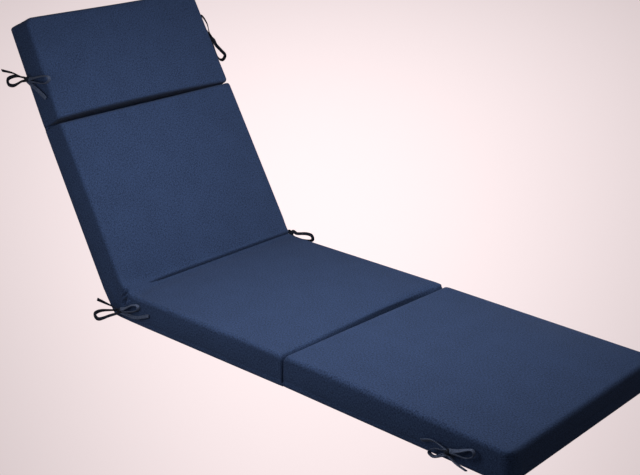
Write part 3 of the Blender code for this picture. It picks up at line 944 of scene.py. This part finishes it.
def knot_mesh(name, centre, along):
    """A tape's wrap drawn tight: an ellipsoid with three rolled folds around it.

    With a the angle around the wrap and b the angle along it, the radius is
    (1 + 0.09 cos(3a + 2b) sin b) times sin(b)^0.6, which pulls in its two open ends.
    """
    b = np.linspace(0.02, math.pi - 0.02, 20)[:, None]
    a = np.linspace(0, 2 * math.pi, 28, endpoint=False)[None, :]
    radius = 1 + 0.09 * np.cos(3 * a + 2 * b) * np.sin(b)
    pulled_in = radius * np.sin(b) ** 0.6
    unit = np.stack([np.broadcast_to(np.cos(b), radius.shape), pulled_in * np.cos(a),
                     pulled_in * np.sin(a)], axis=-1)
    local = unit * KNOT_RADII
    turn = np.array(along.to_track_quat("X", "Z").to_matrix())
    grid = local @ turn.T + np.array(centre)
    return tube_mesh(name, grid, np.linspace(0, 0.015, 20), np.linspace(0, 0.045, 29))


class CUSHION_OT_bows(bpy.types.Operator):
    """Makes the tape bows, each half of a tape at its real length"""

    bl_idname = "cushion.bows"
    bl_label = "Tape bows"

    def execute(self, context):
        settings = context.scene.cushion_tape
        # The plain side is the tape's navy, as light as lit tape, so partly its own colour and
        # partly painted highlight, and its gloss gives it a slight sheen. The other colour is a
        # nearly black
        # copy of it: painted shade for the halves and knots that lie in shadow.
        sides = {
            side: woven_cloth(name, colour, TAPE_THREAD, speckle=0.3, relief=0.4, gloss=gloss)
            for side, name, colour, gloss in (
                ("plain", "slate navy tape", settings.colour, 0.4),
                ("seamed", "dark navy tape, stitched side", settings.painted_shade_colour, 0.2))}
        for bow in BOWS:
            outward = np.array([0.0, bow.side, 0.0])
            halves = [half for half in HALVES if half.bow == bow.name]
            # The knots take the nearly black copy too: painted shade.
            knot = add_object(f"{bow.name}_knot", knot_mesh(
                f"{bow.name}_knot", knot_centre(bow), Vector((1, 0, 0.25))), sides["seamed"])
            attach(knot, BODY)
            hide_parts(bow.name)
            for order, half in zip((-1, 1), halves):
                points, turns = tape_route(bow, half, order)
                path = smooth_path(points, PATH_POINTS)
                marks = running_length(points)
                turn = np.interp(np.linspace(0, marks[-1], len(path)), marks, turns)
                grid = tape_grid(path, turn, outward, settings.width, settings.thickness)
                lengths = running_length(path)
                girths = np.linspace(0, 2 * settings.width, grid.shape[1] + 1)
                name = f"{bow.name}_tape_{'a' if order < 0 else 'b'}"
                tape = add_object(name, tube_mesh(name, grid, lengths, girths), sides[half.face])
                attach(tape, BODY)
                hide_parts(bow.name)
        return {"FINISHED"}


def area_light(lamp, power):
    """A square soft light that faces its target and isn't seen itself."""
    light = bpy.data.lights.new(lamp.name, "AREA")
    light.shape = "SQUARE"
    light.size = lamp.size
    light.energy = power
    holder = bpy.data.objects.new(lamp.name, light)
    holder.location = lamp.place
    aim = Vector(lamp.target) - Vector(lamp.place)
    holder.rotation_euler = aim.to_track_quat("-Z", "Y").to_euler()
    holder.visible_camera = False
    bpy.context.scene.collection.objects.link(holder)


def glowing_floor(settings):
    """A pale floor that glows by itself, a painted pool of light brightest behind the cushion,
    and curves up far out.

    With a the distance across the room and b the place along it, which is 1 at the bright
    place, the glow is the rim's plus the rest times exp(-(a / wide)^2 - (ln(b) / long)^2),
    where wide grows with b. The height grows with the square of the distance past the
    start of the sweep.
    """
    rings, spokes = 90, 120
    reach = np.geomspace(0.05, 30.0, rings)[:, None]
    angle = np.linspace(0, 2 * math.pi, spokes, endpoint=False)[None, :]
    x = GLOW_PLACE.x + reach * np.cos(angle)
    y = GLOW_PLACE.y + reach * np.sin(angle)
    height = FLOOR_Z + SWEEP_RISE * np.clip(reach - SWEEP_START, 0, None) ** 2
    grid = np.stack([x, y, np.broadcast_to(height, x.shape)], axis=-1).reshape(-1, 3)
    centre = np.array([[GLOW_PLACE.x, GLOW_PLACE.y, FLOOR_Z]])
    mesh = bpy.data.meshes.new("floor")
    hub = np.stack([np.full(spokes, rings * spokes), np.arange(spokes),
                    (np.arange(spokes) + 1) % spokes], axis=-1)
    points = np.concatenate([grid, centre])
    mesh.from_pydata(points.tolist(), [], ring_quads(rings, spokes) + hub.tolist())

    offset = points[:, :2] - np.array(GLOW_PLACE[:2])
    turn = math.radians(GLOW_TURN)
    across = offset @ np.array([math.cos(turn), math.sin(turn)])
    along = 1 + offset @ np.array([-math.sin(turn), math.cos(turn)]) / GLOW_NEAR
    along = np.clip(along, 0.08, None)
    glow = GLOW_RIM + (GLOW_CENTRE - GLOW_RIM) * np.exp(
        -(across / (GLOW_WIDE * along)) ** 2 - (np.log(along) / GLOW_LONG) ** 2)
    colour = np.concatenate([glow[:, None] * np.array(settings.floor_tint[:3]),
                             np.ones((len(glow), 1))], axis=1)
    mesh.color_attributes.new("glow", "FLOAT_COLOR", "POINT").data.foreach_set(
        "color", colour.ravel())

    # Wholly matt, and at a shade of 0 it takes no light at all, so that neither a lamp nor
    # the cushion marks it: the eye sees a pale ground without a shadow, lit only by its painted
    # glow
    pale = bpy.data.materials.new("matt pale paint")
    pale.use_nodes = True
    tree = pale.node_tree
    shader = tree.nodes["Principled BSDF"]
    shader.inputs["Base Color"].default_value = (*[settings.floor_shade] * 3, 1.0)
    shader.inputs["Roughness"].default_value = 1.0
    shader.inputs["Specular IOR Level"].default_value = 0.0
    shader.inputs["Emission Strength"].default_value = 1.0 - settings.floor_shade
    lit = add_node(tree, "ShaderNodeAttribute", attribute_name="glow")
    tree.links.new(lit.outputs["Color"], shader.inputs["Emission Color"])
    floor = add_object("floor", mesh, pale)
    floor.visible_diffuse = False
    floor.visible_glossy = False


class CUSHION_OT_stage(bpy.types.Operator):
    """Makes the floor, the soft lights and the camera"""

    bl_idname = "cushion.stage"
    bl_label = "Stage"

    def execute(self, context):
        settings = context.scene.cushion_stage
        scene = context.scene
        scene.view_settings.view_transform = "Standard"
        scene.view_settings.look = "None"

        across = Vector((math.cos(CAMERA_AZIMUTH), math.sin(CAMERA_AZIMUTH), 0))
        back = Vector((math.sin(CAMERA_AZIMUTH) * math.cos(CAMERA_ELEVATION),
                       -math.cos(CAMERA_AZIMUTH) * math.cos(CAMERA_ELEVATION),
                       math.sin(CAMERA_ELEVATION)))
        upward = back.cross(across)
        camera = bpy.data.objects.new("camera", bpy.data.cameras.new("camera"))
        camera.data.sensor_width = CAMERA_SENSOR_MM
        camera.data.lens = CAMERA_LENS_MM
        camera.data.clip_end = 100
        turn = Matrix((across, upward, back)).transposed().to_4x4()
        camera.matrix_world = Matrix.Translation(CAMERA_PLACE) @ turn
        scene.collection.objects.link(camera)
        scene.camera = camera

        glowing_floor(settings)
        world = bpy.data.worlds.new("soft studio")
        world.use_nodes = True
        world.node_tree.nodes["Background"].inputs["Color"].default_value = (1.0, 0.98, 1.0, 1.0)
        world.node_tree.nodes["Background"].inputs["Strength"].default_value = settings.ambient
        scene.world = world
        for lamp in LAMPS:
            area_light(lamp, getattr(settings, lamp.name))
        return {"FINISHED"}


class CUSHION_PT_panel(bpy.types.Panel):
    """Lists the steps that make the cushion"""

    bl_label = "Sun lounger cushion"
    bl_idname = "CUSHION_PT_panel"
    bl_space_type = "VIEW_3D"
    bl_region_type = "UI"
    bl_category = "Cushion"

    def draw(self, context):
        scene = context.scene
        for settings, operator in ((scene.cushion_stage, "cushion.stage"),
                                   (scene.cushion_cover, "cushion.cover"),
                                   (scene.cushion_tape, "cushion.bows")):
            box = self.layout.box()
            for name in settings.bl_rna.properties.keys():
                if name not in {"rna_type", "name"}:
                    box.prop(settings, name)
            box.operator(operator)


CLASSES = (CoverSettings, TapeSettings, StageSettings, CUSHION_OT_cover, CUSHION_OT_bows,
           CUSHION_OT_stage, CUSHION_PT_panel)


def register():
    """Register the classes and hang the settings on the scene."""
    for entry in CLASSES:
        bpy.utils.register_class(entry)
    bpy.types.Scene.cushion_cover = bpy.props.PointerProperty(type=CoverSettings)
    bpy.types.Scene.cushion_tape = bpy.props.PointerProperty(type=TapeSettings)
    bpy.types.Scene.cushion_stage = bpy.props.PointerProperty(type=StageSettings)


def unregister():
    """Take the settings off the scene and unregister the classes."""
    del bpy.types.Scene.cushion_stage
    del bpy.types.Scene.cushion_tape
    del bpy.types.Scene.cushion_cover
    for entry in reversed(CLASSES):
        bpy.utils.unregister_class(entry)


def main():
    """Make every piece."""
    register()
    bpy.ops.cushion.stage()
    bpy.ops.cushion.bows()
    bpy.ops.cushion.cover()


if __name__ == "__main__":
    main()
